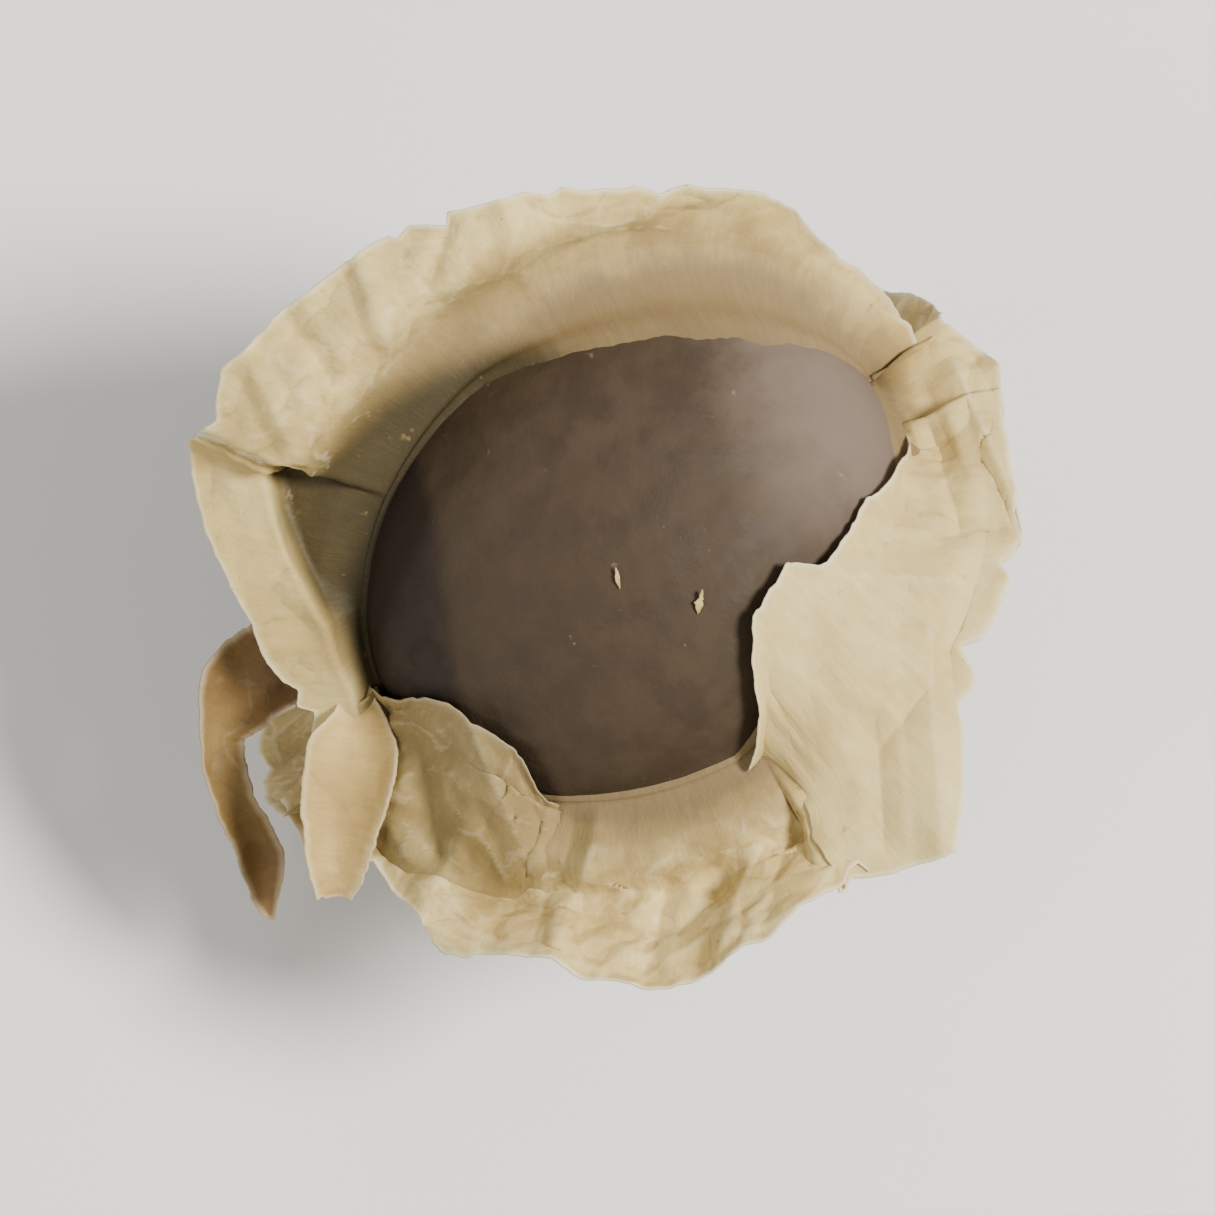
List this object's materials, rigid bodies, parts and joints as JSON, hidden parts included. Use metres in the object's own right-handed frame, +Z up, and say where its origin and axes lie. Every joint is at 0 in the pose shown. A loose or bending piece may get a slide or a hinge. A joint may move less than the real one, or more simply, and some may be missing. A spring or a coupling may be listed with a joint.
{
  "type": "moringa seed",
  "caption": "Dried winged seed: a brown rounded three-angled hull wrapped in a coat of cream papery wings that are folded, curled and torn at the edges.",
  "frame": {"origin": "middle of the bottom of the whole seed's box, on the surface that it lies on", "axes": "+Z up from the surface; the hull's upper face leans 14 degrees towards -Y, and the beak points 36 degrees round from +X towards +Y within that face"},
  "size_m": [0.0188, 0.0184, 0.0152],
  "materials": {
    "hull": "dark brown seed hull, dull with a faint waxy sheen",
    "wings": "cream papery membrane, matte, crumpled and slightly translucent"
  },
  "bodies": {
    "root": {"hull": "hull", "wings": "wings"}
  },
  "joints": []
}
